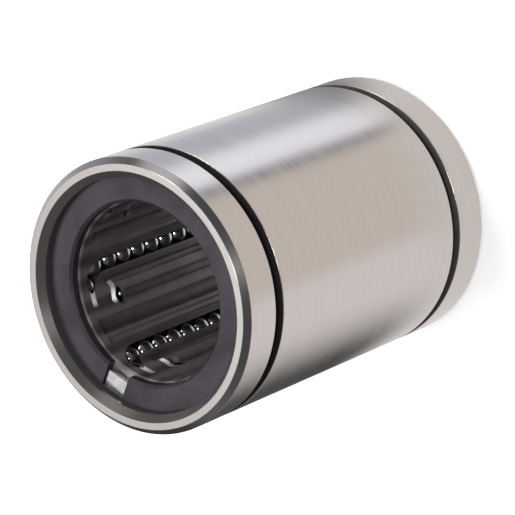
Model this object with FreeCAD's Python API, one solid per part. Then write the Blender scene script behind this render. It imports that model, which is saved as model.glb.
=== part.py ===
import FreeCAD, Part
import math
import os

from FreeCAD import Vector

# Linear ball bearing for a one inch shaft, standing on its lower end face, in millimetres.
# The axis is Z, the lower end face lies at height 0, and both ends are alike.
# Depths are measured inwards from an end face, radii and angles from the axis.

# Driving dimensions: shaft and balls
shaft_diameter = 25.4
ball_diameter = 3.175
circuits = 6
raceway_clearance = 0.01  # between a loaded ball and the raceway above it
ball_gap = 0.025  # between two balls on a straight leg
turn_gap = 0.03  # between two balls on the turn, measured straight across
turn_balls = 3

# Driving dimensions: hardened outer sleeve
sleeve_wall = 3.95875  # outside the raceways, which makes the outside diameter 39.6875
sleeve_length = 57.15
groove_span = 44.57  # over the outer edges of the two outside grooves
groove_width = 1.73
groove_depth = 1.19
outer_chamfer = 0.85
inner_chamfer = 1.0
edge_round = 0.12
ramp_length = 2.7  # where a raceway falls away towards the turn

# Driving dimensions: moulded ball retainer and its races
shaft_gap = 0.25  # between the shaft and the retainer's bore
channel_clearance = 0.12  # round a ball in its race
return_floor_share = 0.193  # of the ball: the wall between the bore and the balls that run back
return_clearance = 0.09  # between those balls and the sleeve
return_angle = 23.0  # from a loaded leg to the leg that runs back
end_wall = 0.65  # past the top of a turn
retainer_gap = 0.14  # between the retainer and the raceways
bulge_wall = 1.3  # each side of a return leg
bulge_gap = 0.14  # between a bulge and the bottom of its channel
bulge_side_angle = 1.0  # play on each side of a bulge in its channel
bulge_step = 0.35  # from the retainer's end to the end of a bulge
retainer_chamfer = 0.3
flute_land = 1.65  # plain bore at each end of the flutes beside the turns
# A flute is a shallow round hollow in the bore: angle past the loaded leg, width and depth
flutes = ((12.0, 1.2, 0.5), (23.4, 1.4, 0.22), (38.0, 2.3, 0.7), (48.3, 1.2, 0.5))
window_lip_share = 0.07  # of the ball: how far the sight window is narrower than it, on each side
window_height_share = 0.6  # of the ball: the window's height along the axis
window_shift_share = 0.25  # of the ball: how far the window is past the middle of the leg's first ball

# Driving dimensions: end rings and steel retaining rings
end_ring_bore_gap = 0.45  # between the shaft and the end ring's bore
end_face_depth = 2.05
end_flange_thickness = 0.4
end_ring_gap = 0.05  # round the flange, and between the ring and its neighbours
end_ring_chamfer = 0.4
skirt_wall = 1.95
bead_height = 0.25
bead_width = 0.3
notch_angle = 10.5  # past a loaded leg
notch_circuit = 4
notch_width = 3.9
notch_rim = 0.5  # between the notch and the recess
ring_groove_depth = 0.65
ring_thickness = 0.7
ring_side_play = 0.05
ring_seat_play = 0.05
ring_opening = 4.0
lug_side_play = 0.1
lug_inset = 1.0  # from the end ring's bore to the tip of the lug

# Radii that follow
ball_radius = ball_diameter / 2
load_radius = shaft_diameter / 2 + ball_radius
raceway_radius = load_radius + ball_radius + raceway_clearance
sleeve_radius = raceway_radius + sleeve_wall
sleeve_diameter = 2 * sleeve_radius
channel_radius = ball_radius + channel_clearance
retainer_bore_radius = shaft_diameter / 2 + shaft_gap
retainer_radius = raceway_radius - retainer_gap
return_floor = return_floor_share * ball_diameter
return_radius = retainer_bore_radius + return_floor + channel_radius
recess_radius = return_radius + ball_radius + return_clearance
bulge_radius = recess_radius - bulge_gap
bulge_half_angle = math.degrees(math.asin((channel_radius + bulge_wall) / return_radius))
channel_half_angle = bulge_half_angle + bulge_side_angle
end_ring_bore_radius = shaft_diameter / 2 + end_ring_bore_gap
skirt_radius = end_ring_bore_radius + skirt_wall
ring_groove_radius = recess_radius + ring_groove_depth
ring_inner_radius = skirt_radius + 2 * end_ring_gap
ring_outer_radius = ring_groove_radius - ring_seat_play
lug_radius = end_ring_bore_radius + lug_inset
notch_radius = recess_radius - notch_rim

# Depths and lengths that follow
middle = sleeve_length / 2
ball_pitch = ball_diameter + ball_gap
ring_groove_top = end_face_depth + end_flange_thickness
ring_groove_width = ring_thickness + 2 * ring_side_play
ring_top = ring_groove_top + ring_side_play
skirt_end_depth = ring_top + ring_thickness + ring_side_play + bead_height
retainer_end_depth = skirt_end_depth + end_ring_gap
bulge_end_depth = retainer_end_depth + bulge_step
flute_end_depth = retainer_end_depth + flute_land
apex_depth = retainer_end_depth + end_wall + channel_radius
window_width = ball_diameter * (1 - 2 * window_lip_share)
window_height = ball_diameter * window_height_share
window_shift = ball_diameter * window_shift_share
lug_width = notch_width - 2 * lug_side_play
circuit_angle = 360.0 / circuits

up = Vector(0, 0, 1)
origin = Vector(0, 0, 0)


def at(radius, angle, z=0.0):
    """The point at a radius, an angle in degrees and a height."""
    a = math.radians(angle)
    return Vector(radius * math.cos(a), radius * math.sin(a), z)


# The plane of the first circuit holds both of its legs, and its turns lie in it too
load_leg = at(load_radius, 0)
return_leg = at(return_radius, return_angle)
across = (return_leg - load_leg).normalize()
outwards = across.cross(up)
turn_radius = (return_leg - load_leg).Length / 2
turn_axis_foot = (load_leg + return_leg) / 2
turn_depth = apex_depth + turn_radius
straight_length = sleeve_length - 2 * turn_depth

# Balls stand a little apart on the turn, and a leg ends where its last ball clears the first of them
# at the end of a travel of half a pitch. What room is left is shared out between the leg's balls.
turn_step = 2 * math.asin((ball_diameter + turn_gap) / 2 / turn_radius)
first_turn_angle = math.pi / 2 - turn_step * (turn_balls - 1) / 2
leading_angle = first_turn_angle + ball_pitch / 2 / turn_radius
sideways = turn_radius * (1 - math.cos(leading_angle))
apart = math.sqrt((ball_diameter + turn_gap) ** 2 - sideways ** 2)
leg_end = apart - turn_radius * math.sin(leading_angle) + ball_pitch / 2
leg_balls_length = straight_length - 2 * leg_end
leg_balls_count = int(leg_balls_length / ball_pitch) + 1
leg_pitch = leg_balls_length / (leg_balls_count - 1)


def polygon(points):
    """A flat face with straight sides, from points in order."""
    return Part.Face(Part.makePolygon(list(points) + [points[0]]))


def turned(outline):
    """A turned solid from an outline of (radius, height) points."""
    face = polygon([Vector(r, 0, z) for r, z in outline])
    return face.revolve(origin, up, 360)


def sector(inner, outer, first_angle, last_angle, low, high):
    """A block between two radii, two angles in degrees and two heights."""
    mid_angle = (first_angle + last_angle) / 2
    outside = Part.Arc(at(outer, first_angle, low), at(outer, mid_angle, low), at(outer, last_angle, low))
    inside = Part.Arc(at(inner, last_angle, low), at(inner, mid_angle, low), at(inner, first_angle, low))
    sides = [
        Part.LineSegment(at(outer, last_angle, low), at(inner, last_angle, low)),
        Part.LineSegment(at(inner, first_angle, low), at(outer, first_angle, low)),
    ]
    wire = Part.Wire(Part.__sortEdges__([c.toShape() for c in [outside, inside] + sides]))
    return Part.Face(wire).extrude(Vector(0, 0, high - low))


def round_each_circuit(shape):
    """A shape made for the first circuit, repeated for all of them."""
    copies = []
    for k in range(circuits):
        copy = shape.copy()
        copy.rotate(origin, up, k * circuit_angle)
        copies.append(copy)
    return copies


def other_end(shape):
    """The same shape at the other end of the bearing."""
    return shape.mirror(Vector(0, 0, middle), up)


def softened(shape, radius, corners):
    """A turned shape whose edges through the given (radius, height) corners are rounded."""
    edges = []
    for edge in shape.Edges:
        point = edge.Vertexes[0].Point
        r = math.hypot(point.x, point.y)
        if any(abs(r - cr) < 1e-4 and abs(point.z - cz) < 1e-4 for cr, cz in corners):
            if edge.Curve.TypeId == "Part::GeomCircle":
                edges.append(edge)
    return shape.makeFillet(radius, edges)


def outer_sleeve():
    """Ground steel sleeve with two outside grooves, six raceways and six return channels."""
    groove_outer = middle - groove_span / 2
    groove_inner = groove_outer + groove_width
    groove_radius = sleeve_radius - groove_depth
    outer_half = [
        (sleeve_radius, groove_inner),
        (groove_radius, groove_inner),
        (groove_radius, groove_outer),
        (sleeve_radius, groove_outer),
        (sleeve_radius, outer_chamfer),
        (sleeve_radius - outer_chamfer, 0),
    ]
    inner_half = [
        (recess_radius + inner_chamfer, 0),
        (recess_radius, inner_chamfer),
        (recess_radius, ring_groove_top),
        (ring_groove_radius, ring_groove_top),
        (ring_groove_radius, ring_groove_top + ring_groove_width),
        (recess_radius, ring_groove_top + ring_groove_width),
        (recess_radius, turn_depth - ramp_length),
        (raceway_radius, turn_depth),
    ]
    half = outer_half + inner_half
    upper = [(r, sleeve_length - z) for r, z in reversed(half)]
    sleeve = turned(half + upper)
    corners = outer_half + inner_half[:2]
    corners += [(r, sleeve_length - z) for r, z in corners]
    sleeve = softened(sleeve, edge_round, corners)
    channel = sector(
        retainer_bore_radius,
        recess_radius,
        return_angle - channel_half_angle,
        return_angle + channel_half_angle,
        turn_depth - ramp_length,
        sleeve_length - turn_depth + ramp_length,
    )
    return sleeve.cut(round_each_circuit(channel))


def channel_section(centre, z):
    """Section of a ball channel: round towards the bore, open towards the sleeve."""
    reach = outwards * recess_radius
    base = centre + up * z
    left = base - across * channel_radius
    right = base + across * channel_radius
    floor = base - outwards * channel_radius
    curves = [
        Part.Arc(left, floor, right),
        Part.LineSegment(right, right + reach),
        Part.LineSegment(right + reach, left + reach),
        Part.LineSegment(left + reach, left),
    ]
    return Part.Face(Part.Wire([c.toShape() for c in curves]))


def ball_channel():
    """The closed race that one circuit of balls runs round in the retainer."""
    low = turn_depth
    high = sleeve_length - turn_depth
    pieces = [
        channel_section(load_leg, low).extrude(up * straight_length),
        channel_section(return_leg, low).extrude(up * straight_length),
        channel_section(load_leg, high).revolve(turn_axis_foot + up * high, outwards, -180),
        channel_section(load_leg, low).revolve(turn_axis_foot + up * low, outwards, 180),
    ]
    return pieces[0].multiFuse(pieces[1:])


def flute(angle, width, depth):
    """A shallow round hollow along the bore of the retainer."""
    radius = (width * width / 4 + depth * depth) / (2 * depth)
    beside_the_turn = angle > return_angle + bulge_half_angle
    low = flute_end_depth if beside_the_turn else turn_depth
    foot = at(retainer_bore_radius + depth - radius, angle, low)
    return Part.makeCylinder(radius, sleeve_length - 2 * low, foot, up)


def sight_window():
    """A slot with round ends across the floor of the return leg, over the leg's first balls."""
    half = window_height / 2
    reach = window_width / 2 - half
    foot = at(shaft_diameter / 2, return_angle, middle - leg_balls_length / 2 + window_shift)
    outer = at(return_radius - shaft_diameter / 2, return_angle)
    side = up.cross(outer).normalize()
    box = polygon(
        [
            foot - side * reach - up * half,
            foot + side * reach - up * half,
            foot + side * reach + up * half,
            foot - side * reach + up * half,
        ]
    ).extrude(outer)
    ends = [Part.makeCylinder(half, outer.Length, foot + side * x, outer) for x in (-reach, reach)]
    return box.multiFuse(ends)


def ball_retainer():
    """Moulded cage with six closed ball races, bulges that key it, and a fluted bore."""
    low = retainer_end_depth
    high = sleeve_length - retainer_end_depth
    body = turned(
        [
            (retainer_bore_radius + retainer_chamfer, low),
            (retainer_radius - retainer_chamfer, low),
            (retainer_radius, low + retainer_chamfer),
            (retainer_radius, high - retainer_chamfer),
            (retainer_radius - retainer_chamfer, high),
            (retainer_bore_radius + retainer_chamfer, high),
            (retainer_bore_radius, high - retainer_chamfer),
            (retainer_bore_radius, low + retainer_chamfer),
        ]
    )
    bulge = sector(
        (retainer_bore_radius + retainer_radius) / 2,
        bulge_radius,
        return_angle - bulge_half_angle,
        return_angle + bulge_half_angle,
        bulge_end_depth,
        sleeve_length - bulge_end_depth,
    )
    body = body.multiFuse(round_each_circuit(bulge))
    window = sight_window()
    first = [ball_channel(), window, other_end(window)]
    first += [flute(angle, width, depth) for angle, width, depth in flutes]
    cuts = []
    for shape in first:
        cuts += round_each_circuit(shape)
    return body.cut(cuts).removeSplitter()


def end_ring():
    """Dark end ring whose beaded skirt snaps into the steel ring, with one notch."""
    flange_radius = recess_radius - end_ring_gap
    inner = end_ring_bore_radius
    body = turned(
        [
            (inner, end_face_depth + end_ring_chamfer),
            (inner + end_ring_chamfer, end_face_depth),
            (flange_radius, end_face_depth),
            (flange_radius, ring_groove_top),
            (skirt_radius, ring_groove_top),
            (skirt_radius, skirt_end_depth - bead_height),
            (skirt_radius + bead_width, skirt_end_depth - bead_height / 2),
            (skirt_radius, skirt_end_depth),
            (inner, skirt_end_depth),
        ]
    )
    notch = Part.makeBox(notch_radius, notch_width, skirt_end_depth, Vector(0, -notch_width / 2, 0))
    notch.rotate(origin, up, (notch_circuit * circuit_angle) + notch_angle)
    return body.cut(notch)


def retaining_ring():
    """Open steel ring in the inner groove of the sleeve, with a lug in the end ring's notch."""
    low = ring_top
    high = ring_top + ring_thickness
    body = turned(
        [
            (ring_inner_radius, low),
            (ring_outer_radius, low),
            (ring_outer_radius, high),
            (ring_inner_radius, high),
        ]
    )
    reach = (ring_inner_radius + ring_outer_radius) / 2 - lug_radius
    lug = Part.makeBox(reach, lug_width, ring_thickness, Vector(lug_radius, -lug_width / 2, low))
    gap = Part.makeBox(
        sleeve_radius, ring_opening, sleeve_length, Vector(-sleeve_radius, -ring_opening / 2, 0)
    )
    ring = body.fuse(lug).cut(gap).removeSplitter()
    ring.rotate(origin, up, (notch_circuit * circuit_angle) + notch_angle)
    return ring


def leg_balls(leg):
    """The balls along one straight leg of a circuit, evenly spaced about its middle."""
    first = middle - leg_balls_length / 2
    heights = [first + n * leg_pitch for n in range(leg_balls_count)]
    return [Part.makeSphere(ball_radius, leg + up * z) for z in heights]


def turn_group(z, way):
    """The balls on one turn, above its centre for way 1 and below it for way -1."""
    balls = []
    for n in range(turn_balls):
        a = first_turn_angle + n * turn_step
        offset = across * (turn_radius * math.cos(a)) + up * (way * turn_radius * math.sin(a))
        balls.append(Part.makeSphere(ball_radius, turn_axis_foot + up * z + offset))
    return balls


def save(name, solids):
    """One file for each node, with all its solids."""
    shape = solids[0] if len(solids) == 1 else Part.makeCompound(solids)
    shape.exportStep("parts/" + name + ".step")


os.makedirs("parts", exist_ok=True)
save("outer_sleeve", [outer_sleeve().Solids[0]])
save("ball_retainer", ball_retainer().Solids)
save("end_ring_bottom", end_ring().Solids)
save("end_ring_top", other_end(end_ring()).Solids)
save("retaining_ring_bottom", retaining_ring().Solids)
save("retaining_ring_top", other_end(retaining_ring()).Solids)

groups = {
    "load_balls": leg_balls(load_leg),
    "return_balls": leg_balls(return_leg),
    "turn_balls_top": turn_group(sleeve_length - turn_depth, 1),
    "turn_balls_bottom": turn_group(turn_depth, -1),
}
for group, balls in groups.items():
    for k in range(circuits):
        placed = [ball.copy() for ball in balls]
        for ball in placed:
            ball.rotate(origin, up, k * circuit_angle)
        save(group + "_" + str(k + 1), placed)

print("turn radius", round(turn_radius, 4), "turn depth", round(turn_depth, 4))
print("turn axis foot", turn_axis_foot, "outwards", outwards)
print("outside diameter", round(sleeve_diameter, 4), "leg pitch", round(leg_pitch, 4))
print("balls on a leg", len(groups["load_balls"]), "straight length", round(straight_length, 3))
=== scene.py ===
import bpy
import math
from mathutils import Euler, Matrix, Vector


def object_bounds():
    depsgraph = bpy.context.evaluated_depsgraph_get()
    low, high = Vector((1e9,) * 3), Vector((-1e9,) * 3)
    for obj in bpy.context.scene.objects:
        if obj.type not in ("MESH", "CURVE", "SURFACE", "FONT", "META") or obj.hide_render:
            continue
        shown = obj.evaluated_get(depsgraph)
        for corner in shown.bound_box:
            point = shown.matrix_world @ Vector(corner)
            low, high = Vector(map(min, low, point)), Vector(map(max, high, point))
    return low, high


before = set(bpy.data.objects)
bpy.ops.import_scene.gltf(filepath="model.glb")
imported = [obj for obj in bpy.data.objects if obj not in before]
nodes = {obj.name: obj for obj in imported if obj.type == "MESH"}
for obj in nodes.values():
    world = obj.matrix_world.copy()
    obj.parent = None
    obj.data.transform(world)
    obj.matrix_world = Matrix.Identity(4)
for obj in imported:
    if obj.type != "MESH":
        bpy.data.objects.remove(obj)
cadBox = [list(corner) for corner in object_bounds()]
bpy.ops.object.select_all(action="DESELECT")
print("frame loaded,", len(nodes), "nodes")

millimetres = 1000.0  # in a metre
middleHeight = millimetres * (cadBox[0][2] + cadBox[1][2]) / 2  # of the bearing as it stands on its end


# Helpers for the node trees

mixSockets = {"RGBA": (6, 7, 2), "FLOAT": (2, 3, 0), "VECTOR": (4, 5, 1)}  # first, second, result


def addNode(tree, kind, **settings):
    node = tree.nodes.new(kind)
    for name, value in settings.items():
        setattr(node, name, value)
    return node


def feed(tree, socket, value):
    if isinstance(value, bpy.types.NodeSocket):
        tree.links.new(value, socket)
    elif isinstance(value, tuple) and len(value) == 3 and socket.type == "RGBA":
        socket.default_value = value + (1.0,)
    else:
        socket.default_value = value


def feedAll(tree, sockets, values):
    for socket, value in zip(sockets, values):
        feed(tree, socket, value)


def mathOf(tree, operation, *values):
    node = addNode(tree, "ShaderNodeMath", operation=operation)
    feedAll(tree, node.inputs, values)
    return node.outputs[0]


def vectorOf(tree, operation, *values):
    node = addNode(tree, "ShaderNodeVectorMath", operation=operation)
    feedAll(tree, node.inputs, values)
    return node.outputs["Value" if operation in ("LENGTH", "DOT_PRODUCT") else "Vector"]


def mixOf(tree, factor, first, second, kind="RGBA"):
    node = addNode(tree, "ShaderNodeMix", data_type=kind)
    firstSocket, secondSocket, result = mixSockets[kind]
    sockets = (node.inputs[0], node.inputs[firstSocket], node.inputs[secondSocket])
    feedAll(tree, sockets, (factor, first, second))
    return node.outputs[result]


def mixShaders(tree, factor, first, second):
    node = addNode(tree, "ShaderNodeMixShader")
    feedAll(tree, node.inputs, (factor, first, second))
    return node.outputs[0]


def rangeOf(tree, value, low, high, outLow=0.0, outHigh=1.0):
    node = addNode(tree, "ShaderNodeMapRange", interpolation_type="SMOOTHSTEP")
    sockets = [node.inputs[name] for name in ("Value", "From Min", "From Max", "To Min", "To Max")]
    feedAll(tree, sockets, (value, low, high, outLow, outHigh))
    return node.outputs["Result"]


def withinEdges(tree, value, edges):  # a soft edge is 0 at its first value and 1 at its second
    inside = 1.0
    for start, full in edges:
        inside = mathOf(tree, "MULTIPLY", inside, rangeOf(tree, value, start, full))
    return inside


def noiseOf(tree, vector, scale, detail=2.0, roughness=0.5):
    node = addNode(tree, "ShaderNodeTexNoise")
    sockets = [node.inputs[name] for name in ("Vector", "Scale", "Detail", "Roughness")]
    feedAll(tree, sockets, (vector, scale, detail, roughness))
    return node.outputs["Fac"]


def newGroup(name, inputs, outputs):
    tree = bpy.data.node_groups.new(name, "ShaderNodeTree")
    for way, sockets in (("INPUT", inputs), ("OUTPUT", outputs)):
        for label, kind in sockets.items():
            tree.interface.new_socket(label, in_out=way, socket_type="NodeSocket" + kind)
    return tree, addNode(tree, "NodeGroupInput").outputs, addNode(tree, "NodeGroupOutput").inputs


def placeGroup(tree, group, **values):
    node = addNode(tree, "ShaderNodeGroup", node_tree=group)
    for name, value in values.items():
        feed(tree, node.inputs[name], value)
    return node.outputs


def newMaterial(name):
    material = bpy.data.materials.new(name)
    material.use_nodes = True
    tree = material.node_tree
    tree.nodes.clear()
    shader = addNode(tree, "ShaderNodeBsdfPrincipled")
    output = addNode(tree, "ShaderNodeOutputMaterial")
    tree.links.new(shader.outputs[0], output.inputs[0])
    place = addNode(tree, "ShaderNodeTexCoord").outputs["Object"]
    return material, tree, shader.inputs, place


def addBump(tree, height, strength, distance):  # the distance is in metres
    bump = addNode(tree, "ShaderNodeBump")
    sockets = [bump.inputs[name] for name in ("Strength", "Distance", "Height")]
    feedAll(tree, sockets, (strength, distance, height))
    return bump.outputs[0]


def towards(compass, rise):
    turn, rise = math.radians(compass), math.radians(rise)
    return Vector((math.cos(turn) * math.cos(rise), math.sin(turn) * math.cos(rise), math.sin(rise)))


# Place about the bearing's axis, in millimetres and degrees

def splitPlace(tree, place):  # x, y, z and the distance from the axis, in metres
    parts = addNode(tree, "ShaderNodeSeparateXYZ")
    feed(tree, parts.inputs[0], place)
    x, y, z = parts.outputs
    squares = mathOf(tree, "ADD", mathOf(tree, "MULTIPLY", x, x), mathOf(tree, "MULTIPLY", y, y))
    return x, y, z, mathOf(tree, "SQRT", squares)


def makeAxisGroup():
    outputs = {"Radius": "Float", "FromMiddle": "Float", "Endwards": "Float", "Turn": "Float"}
    tree, given, result = newGroup("aboutTheAxis", {"Place": "Vector"}, outputs)
    x, y, z, radius = splitPlace(tree, given["Place"])
    aboveMiddle = mathOf(tree, "SUBTRACT", mathOf(tree, "MULTIPLY", z, millimetres), middleHeight)
    feed(tree, result["Radius"], mathOf(tree, "MULTIPLY", radius, millimetres))
    feed(tree, result["FromMiddle"], mathOf(tree, "ABSOLUTE", aboveMiddle))
    feed(tree, result["Endwards"], mathOf(tree, "SIGN", aboveMiddle))
    feed(tree, result["Turn"], mathOf(tree, "DEGREES", mathOf(tree, "ARCTAN2", y, x)))
    return tree


# Grinding: fine lines that run round the axis, and broader bands of them

grindingLook = {
    "Lines": {"share": 1.0, "drift": 90.0},
    "Bands": {"share": 0.12, "drift": 35.0},
    "noise": {"scale": 1.0, "detail": 3.0, "roughness": 0.6},
}


def makeGrindingGroup(look):
    inputs = {"Place": "Vector", "Spacing": "Float"}
    tree, given, result = newGroup("grindingLines", inputs, {"Lines": "Float", "Bands": "Float"})
    x, y, z, radius = splitPlace(tree, given["Place"])
    across = mathOf(tree, "MULTIPLY", mathOf(tree, "ADD", radius, z), millimetres)
    across = mathOf(tree, "DIVIDE", across, given["Spacing"])
    for name in ("Lines", "Bands"):
        drift, share = look[name]["drift"], look[name]["share"]
        joined = addNode(tree, "ShaderNodeCombineXYZ")
        feed(tree, joined.inputs[0], mathOf(tree, "MULTIPLY", x, drift))
        feed(tree, joined.inputs[1], mathOf(tree, "MULTIPLY", y, drift))
        feed(tree, joined.inputs[2], mathOf(tree, "MULTIPLY", across, share))
        feed(tree, result[name], noiseOf(tree, joined.outputs[0], **look["noise"]))
    return tree


# Skin: the grain of a surface, and the cloudy patches of oil on it

skinLook = {
    "grain": {"detail": 3.0, "roughness": 0.55},
    "patches": {"detail": 4.0, "roughness": 0.6},
    "patchEdges": (0.35, 0.65),
}


def makeSkinGroup(look):
    inputs = {"Place": "Vector", "GrainScale": "Float", "PatchScale": "Float"}
    tree, given, result = newGroup("oiledSkin", inputs, {"Grain": "Float", "Patches": "Float"})
    grain = noiseOf(tree, given["Place"], given["GrainScale"], **look["grain"])
    patches = noiseOf(tree, given["Place"], given["PatchScale"], **look["patches"])
    feed(tree, result["Grain"], grain)
    feed(tree, result["Patches"], rangeOf(tree, patches, *look["patchEdges"]))
    return tree


axisGroup = makeAxisGroup()
grindingGroup = makeGrindingGroup(grindingLook)
skinGroup = makeSkinGroup(skinLook)
print("shared effects ready")


# Outer sleeve: ground steel, with chamfers, recesses and grooves of their own finish

sleeveLook = {
    "steel": (0.60, 0.565, 0.54),
    "steelDark": (0.565, 0.53, 0.505),
    "steelSpan": (0.3, 0.7),  # of the tone that the lines and bands make
    "roughness": (0.17, 0.25),
    "roughSpan": (0.25, 0.75),  # of the same tone
    "patchRoughness": 0.28,
    "patchShare": 0.25,
    "patchScale": 120.0,
    "spacing": 0.14,  # of the grinding lines, in millimetres
    "bandShare": 0.5,
    "bump": {"strength": 0.07, "distance": 0.00001},
    "anisotropic": 0.6,
    "zones": {  # within soft edges, in millimetres from the axis and from the middle
        "chamfers": {
            "colour": (0.38, 0.37, 0.36), "roughness": 0.21, "metallic": 1.0,
            "fromAxis": ((19.00, 19.05),), "fromMiddle": ((27.68, 27.74),),
        },
        "recesses": {
            "colour": (0.115, 0.108, 0.104), "roughness": 0.28, "metallic": 0.6,
            "fromAxis": ((17.99, 17.93),), "fromMiddle": (),
        },
        "grooves": {
            "colour": (0.012, 0.010, 0.009), "roughness": 0.5, "metallic": 0.6,
            "fromAxis": ((18.4, 18.5), (19.80, 19.72)), "fromMiddle": ((20.52, 20.56), (22.31, 22.27)),
        },
    },
}


def makeSleeveSteel(look):
    material, tree, inputs, place = newMaterial("sleeveSteel")
    axis = placeGroup(tree, axisGroup, Place=place)
    grinding = placeGroup(tree, grindingGroup, Place=place, Spacing=look["spacing"])
    skin = placeGroup(tree, skinGroup, Place=place, PatchScale=look["patchScale"])
    tone = mixOf(tree, look["bandShare"], grinding["Lines"], grinding["Bands"], "FLOAT")
    colour = mixOf(tree, rangeOf(tree, tone, *look["steelSpan"]), look["steelDark"], look["steel"])
    rough = rangeOf(tree, tone, *look["roughSpan"], *look["roughness"])
    oiled = mathOf(tree, "MULTIPLY", skin["Patches"], look["patchShare"])
    rough = mixOf(tree, oiled, rough, look["patchRoughness"], "FLOAT")
    metal = 1.0
    for zone in look["zones"].values():
        inside = mathOf(
            tree, "MULTIPLY",
            withinEdges(tree, axis["Radius"], zone["fromAxis"]),
            withinEdges(tree, axis["FromMiddle"], zone["fromMiddle"]),
        )
        colour = mixOf(tree, inside, colour, zone["colour"])
        rough = mixOf(tree, inside, rough, zone["roughness"], "FLOAT")
        metal = mixOf(tree, inside, metal, zone["metallic"], "FLOAT")
    feed(tree, inputs["Base Color"], colour)
    feed(tree, inputs["Roughness"], rough)
    feed(tree, inputs["Metallic"], metal)
    inputs["Anisotropic"].default_value = look["anisotropic"]
    around = addNode(tree, "ShaderNodeTangent", direction_type="RADIAL", axis="Z").outputs[0]
    facing = addNode(tree, "ShaderNodeNewGeometry").outputs["Normal"]
    feed(tree, inputs["Tangent"], vectorOf(tree, "CROSS_PRODUCT", facing, around))
    feed(tree, inputs["Normal"], addBump(tree, grinding["Lines"], **look["bump"]))
    return material


# Ball retainer: nearly black moulded resin with a satin skin, painted light and shade stripes round the
# bore, and polished lips round the turns

retainerLook = {
    # resin is the painted shade between the stripes and resinLight the painted light on them, both mixed
    # with random oily patches
    "resin": (0.040, 0.033, 0.034),
    "resinLight": (0.165, 0.142, 0.146),
    "paintedStripes": 24.0,  # painted light and shade stripes round the bore
    "firstPaintedStripe": 9.0,  # degrees
    "patchShare": 0.25,
    "roughness": (0.40, 0.29),  # dry and oiled
    "grainScale": 7000.0,
    "patchScale": 220.0,
    "bump": {"strength": 0.25, "distance": 0.00002},
    "specular": 0.7,
    "rowSpacing": 60.0,  # degrees from one loaded row to the next
    "lips": (  # degrees past the loaded row, and millimetres from the middle
        {"from": 12.5, "to": 27.0, "low": 17.75, "high": 18.95, "polish": 1.0},
        {"from": 10.0, "to": 25.0, "low": 22.1, "high": 23.3, "polish": 0.55},
    ),
    "lipEdges": {"facing": 1.0, "polish": 4.0, "low": 0.1, "high": 0.3},  # how soft, facing each way
    "lipRoughness": 0.18,
    "lipSlope": 1.4,
}


def maskLips(tree, axis, look):  # where the surface faces as a lip does, and how polished it is
    pastRow = mathOf(tree, "FLOORED_MODULO", axis["Turn"], look["rowSpacing"])
    soft = look["lipEdges"]
    facing, polish = 0.0, 0.0
    for lip in look["lips"]:
        start, end, low, high = lip["from"], lip["to"], lip["low"], lip["high"]
        heightEdges = ((low, low + soft["low"]), (high, high - soft["high"]))
        facingEdges = (
            (start - soft["facing"], start + soft["facing"]),
            (end + soft["facing"], end - soft["facing"]),
        )
        polishEdges = ((start, start + soft["polish"]), (end, end - soft["polish"]))
        along = withinEdges(tree, axis["FromMiddle"], heightEdges)
        faced = mathOf(tree, "MULTIPLY", along, withinEdges(tree, pastRow, facingEdges))
        polished = mathOf(tree, "MULTIPLY", along, withinEdges(tree, pastRow, polishEdges))
        facing = mathOf(tree, "ADD", facing, faced)
        polish = mathOf(tree, "MULTIPLY_ADD", polished, lip["polish"], polish)
    return facing, polish


def roundedFacing(tree, place, endwards, slope):  # towards the axis, sloped towards the nearer end
    inwards = vectorOf(tree, "NORMALIZE", vectorOf(tree, "MULTIPLY", place, (-1.0, -1.0, 0.0)))
    rise = addNode(tree, "ShaderNodeCombineXYZ")
    feed(tree, rise.inputs[2], mathOf(tree, "MULTIPLY", endwards, slope))
    return vectorOf(tree, "ADD", inwards, rise.outputs[0])


def makeRetainerResin(look):
    material, tree, inputs, place = newMaterial("retainerResin")
    scales = {"GrainScale": look["grainScale"], "PatchScale": look["patchScale"]}
    skin = placeGroup(tree, skinGroup, Place=place, **scales)
    axis = placeGroup(tree, axisGroup, Place=place)
    # painted light and shade: pale and dark stripes round the bore, with random oily patches mixed in
    pastFirstPaintedStripe = mathOf(tree, "SUBTRACT", axis["Turn"], look["firstPaintedStripe"])
    phase = mathOf(tree, "RADIANS", mathOf(tree, "MULTIPLY", pastFirstPaintedStripe, look["paintedStripes"]))
    wave = mathOf(tree, "COSINE", phase)
    paintedStripesAndPatches = mixOf(tree, look["patchShare"], rangeOf(tree, wave, 1.0, -1.0), skin["Patches"], "FLOAT")
    feed(tree, inputs["Base Color"], mixOf(tree, paintedStripesAndPatches, look["resin"], look["resinLight"]))
    onLip, polish = maskLips(tree, axis, look)
    rough = rangeOf(tree, skin["Patches"], 0.0, 1.0, *look["roughness"])
    feed(tree, inputs["Roughness"], mixOf(tree, polish, rough, look["lipRoughness"], "FLOAT"))
    grained = addBump(tree, skin["Grain"], **look["bump"])
    rounded = roundedFacing(tree, place, axis["Endwards"], look["lipSlope"])
    facing = mixOf(tree, onLip, grained, rounded, "VECTOR")
    feed(tree, inputs["Normal"], vectorOf(tree, "NORMALIZE", facing))
    inputs["Specular IOR Level"].default_value = look["specular"]
    return material


# End rings: dark grey moulded resin, a little violet

endRingLook = {
    "resin": (0.018, 0.014, 0.020),
    "resinLight": (0.031, 0.025, 0.033),
    "roughness": (0.45, 0.35),  # dry and oiled
    "grainScale": 6000.0,
    "patchScale": 150.0,
    "bump": {"strength": 0.3, "distance": 0.00002},
}


def makeEndRingResin(look):
    material, tree, inputs, place = newMaterial("endRingResin")
    scales = {"GrainScale": look["grainScale"], "PatchScale": look["patchScale"]}
    skin = placeGroup(tree, skinGroup, Place=place, **scales)
    feed(tree, inputs["Base Color"], mixOf(tree, skin["Patches"], look["resin"], look["resinLight"]))
    feed(tree, inputs["Roughness"], rangeOf(tree, skin["Patches"], 0.0, 1.0, *look["roughness"]))
    feed(tree, inputs["Normal"], addBump(tree, skin["Grain"], **look["bump"]))
    return material


# Retaining rings: bright spring steel, stamped

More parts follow.
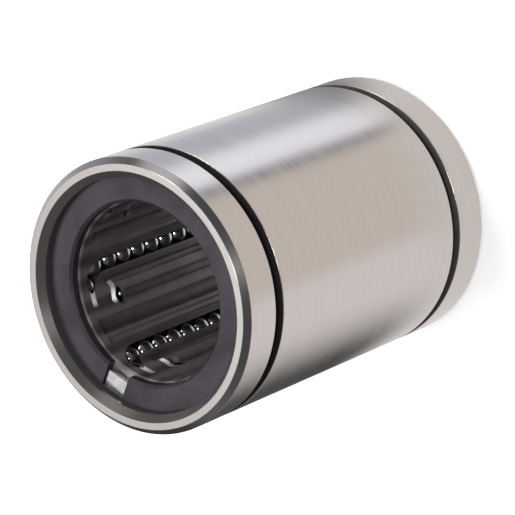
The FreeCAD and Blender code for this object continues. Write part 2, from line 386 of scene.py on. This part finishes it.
ringLook = {
    "steel": (0.74, 0.73, 0.72),
    "steelDark": (0.60, 0.59, 0.58),
    "roughness": (0.22, 0.34),
    "roughSpan": (0.3, 0.7),  # of the grain
    "grainScale": 5000.0,
    "patchScale": 700.0,
    "bump": {"strength": 0.2, "distance": 0.00001},
}


def makeRingSteel(look):
    material, tree, inputs, place = newMaterial("ringSteel")
    scales = {"GrainScale": look["grainScale"], "PatchScale": look["patchScale"]}
    skin = placeGroup(tree, skinGroup, Place=place, **scales)
    feed(tree, inputs["Base Color"], mixOf(tree, skin["Patches"], look["steelDark"], look["steel"]))
    feed(tree, inputs["Roughness"], rangeOf(tree, skin["Grain"], *look["roughSpan"], *look["roughness"]))
    inputs["Metallic"].default_value = 1.0
    feed(tree, inputs["Normal"], addBump(tree, skin["Grain"], **look["bump"]))
    return material


# Balls: polished chrome steel under a thin film of oil

ballLook = {
    "steel": (0.56, 0.56, 0.57),
    "steelDark": (0.46, 0.455, 0.45),
    "roughness": (0.15, 0.09),  # dry and oiled
    "patchScale": 900.0,
}


def makeBallSteel(look):
    material, tree, inputs, place = newMaterial("ballSteel")
    skin = placeGroup(tree, skinGroup, Place=place, PatchScale=look["patchScale"])
    feed(tree, inputs["Base Color"], mixOf(tree, skin["Patches"], look["steelDark"], look["steel"]))
    feed(tree, inputs["Roughness"], rangeOf(tree, skin["Patches"], 0.0, 1.0, *look["roughness"]))
    inputs["Metallic"].default_value = 1.0
    return material


finishes = {  # by a part of the node's name
    "outer_sleeve": makeSleeveSteel(sleeveLook),
    "ball_retainer": makeRetainerResin(retainerLook),
    "end_ring": makeEndRingResin(endRingLook),
    "retaining_ring": makeRingSteel(ringLook),
    "balls": makeBallSteel(ballLook),
}
for name, node in nodes.items():
    finish = next(material for part, material in finishes.items() if part in name)
    for slot in node.material_slots:
        slot.material = finish
print("materials ready")


# Floor: steel sees of it only the part round the bearing's foot, a glowing patch of painted light with a
# painted shadow on one side, and the studio's cards beyond

floorLook = {
    "size": 3.0,
    "paper": (0.80, 0.80, 0.80),
    "paperDark": (0.788, 0.788, 0.788),
    "mottleScale": 30.0,
    "roughness": 0.9,
    "specular": 0.1,
    "glow": 0.28,  # for the camera alone
    "foot": {
        "inner": 0.023, "outer": 0.034,  # how far out it is seen, in metres
        "lit": (0.92, 0.90, 0.89), "shaded": (0.34, 0.34, 0.34),
        "compass": -20, "shadeSpan": (-0.016, -0.004),  # from shaded to lit along this compass angle
    },
}


# painted light and a painted shadow: a glowing patch round the foot that only reflections see, lit on one
# side and shaded on the other
def footShader(tree, place, look):
    side = vectorOf(tree, "DOT_PRODUCT", place, towards(look["compass"], 0))
    shade = mixOf(tree, rangeOf(tree, side, *look["shadeSpan"]), look["shaded"], look["lit"])
    seen = addNode(tree, "ShaderNodeEmission")
    feed(tree, seen.inputs["Color"], shade)
    unseen = addNode(tree, "ShaderNodeBsdfTransparent")
    near = rangeOf(tree, vectorOf(tree, "LENGTH", place), look["outer"], look["inner"])
    return mixShaders(tree, near, unseen.outputs[0], seen.outputs[0])


def makeFloorPaper(look):
    material, tree, inputs, place = newMaterial("floorPaper")
    mottle = noiseOf(tree, place, look["mottleScale"])
    feed(tree, inputs["Base Color"], mixOf(tree, mottle, look["paper"], look["paperDark"]))
    inputs["Roughness"].default_value = look["roughness"]
    inputs["Specular IOR Level"].default_value = look["specular"]
    inputs["Emission Color"].default_value = (1, 1, 1, 1)
    rays = addNode(tree, "ShaderNodeLightPath").outputs
    feed(tree, inputs["Emission Strength"], mathOf(tree, "MULTIPLY", rays["Is Camera Ray"], look["glow"]))
    paper = tree.nodes["Principled BSDF"].outputs[0]
    surface = mixShaders(tree, rays["Is Glossy Ray"], paper, footShader(tree, place, look["foot"]))
    feed(tree, tree.nodes["Material Output"].inputs[0], surface)
    return material


def makeFloor(look):
    bpy.ops.mesh.primitive_plane_add(size=look["size"], location=(0, 0, 0))
    floor = bpy.context.object
    floor.name = "floor"
    floor.data.materials.append(makeFloorPaper(look))
    floor.select_set(False)


makeFloor(floorLook)


# Studio: a pale wall all round with soft cards before it, under a dim ceiling with four lights

studioLook = {
    "wall": (0.95, 0.95, 0.95),
    "cards": (  # soft edges by compass angle, in degrees; a later card stands before an earlier one
        {"name": "grey side", "edges": ((120, 130), (180, 160)), "colour": (0.65, 0.67, 0.75)},
        {"name": "warm front", "edges": ((-80, -40), (93, 90)), "colour": (0.85, 0.80, 0.75)},
        {"name": "low front", "edges": ((-80, -40), (0, -20)), "colour": (1.00, 0.95, 0.97)},
        {"name": "black flag", "edges": ((-160, -130), (-50, -110)), "colour": (0.08, 0.08, 0.08)},
        {"name": "cool strip", "edges": ((92, 96), (135, 110)), "colour": (1.30, 1.35, 1.50)},
        {"name": "dark gap", "edges": ((80, 84), (96, 92)), "colour": (0.40, 0.40, 0.42)},
    ),
    "ceiling": (0.13, 0.13, 0.14),
    "ceilingSpan": (0.0, 0.30),  # where the cards give way to it, as the sine of the height angle
    "lights": (  # full within the inner angle and gone at the outer one
        {"compass": 198, "rise": 65, "colour": (1.62, 1.62, 1.64), "inner": 10, "outer": 28},
        {"compass": 112, "rise": 27, "colour": (1.0, 1.0, 1.0), "inner": 8, "outer": 22},
        {"compass": 20, "rise": 62, "colour": (17.0, 17.0, 17.0), "inner": 5, "outer": 9},
        {"compass": 119, "rise": 48, "colour": (12.0, 12.0, 12.0), "inner": 6, "outer": 9},
    ),
    "strength": 1.0,
}


def makeStudio(look):
    world = bpy.data.worlds.new("studio")
    bpy.context.scene.world = world
    world.use_nodes = True
    tree = world.node_tree
    tree.nodes.clear()
    direction = addNode(tree, "ShaderNodeTexCoord").outputs["Generated"]
    parts = addNode(tree, "ShaderNodeSeparateXYZ")
    feed(tree, parts.inputs[0], direction)
    x, y, z = parts.outputs
    compass = mathOf(tree, "DEGREES", mathOf(tree, "ARCTAN2", y, x))
    colour = look["wall"]
    for card in look["cards"]:
        colour = mixOf(tree, withinEdges(tree, compass, card["edges"]), colour, card["colour"])
    colour = mixOf(tree, rangeOf(tree, z, *look["ceilingSpan"]), colour, look["ceiling"])
    for light in look["lights"]:
        near = vectorOf(tree, "DOT_PRODUCT", direction, towards(light["compass"], light["rise"]))
        edges = [math.cos(math.radians(light[edge])) for edge in ("outer", "inner")]
        colour = mixOf(tree, rangeOf(tree, near, *edges), colour, light["colour"])
    background = addNode(tree, "ShaderNodeBackground")
    feed(tree, background.inputs[0], colour)
    background.inputs[1].default_value = look["strength"]
    output = addNode(tree, "ShaderNodeOutputWorld")
    tree.links.new(background.outputs[0], output.inputs[0])


makeStudio(studioLook)


# Lamps: each stands off the bearing by a compass angle, a height angle and a distance

lampLook = {
    "lampKey": {"compass": 200, "rise": 60, "distance": 0.7, "size": 0.45, "watts": 3.0},
    "lampFill": {"compass": 40, "rise": 62, "distance": 0.7, "size": 0.4, "watts": 2.0},
}
lampTarget = (0, 0, 0.04)  # metres


def addLamp(name, look):
    data = bpy.data.lights.new(name, "AREA")
    data.energy = look["watts"]
    data.size = look["size"]
    lamp = bpy.data.objects.new(name, data)
    bpy.context.scene.collection.objects.link(lamp)
    away = towards(look["compass"], look["rise"])
    lamp.location = Vector(lampTarget) + away * look["distance"]
    lamp.rotation_euler = away.to_track_quat("Z", "Y").to_euler()
    lamp.visible_glossy = False  # steel shows the studio alone


for name, look in lampLook.items():
    addLamp(name, look)


# Camera

cameraLook = {
    "place": (0.2822939, 0.1517228, 0.4037585),  # metres
    "turn": (-17.221986, 37.332406, 1.353833),  # degrees
    "lens": 238.796,
    "sensor": 36,
    "nearest": 0.01,
}


def makeCamera(look):
    data = bpy.data.cameras.new("camera")
    data.lens = look["lens"]
    data.sensor_width = look["sensor"]
    data.clip_start = look["nearest"]
    camera = bpy.data.objects.new("camera", data)
    bpy.context.scene.collection.objects.link(camera)
    camera.location = look["place"]
    camera.rotation_euler = Euler([math.radians(angle) for angle in look["turn"]], "XYZ")
    bpy.context.scene.camera = camera


makeCamera(cameraLook)
bpy.context.scene.view_settings.view_transform = "Standard"
print("floor, studio, lamps and camera ready")
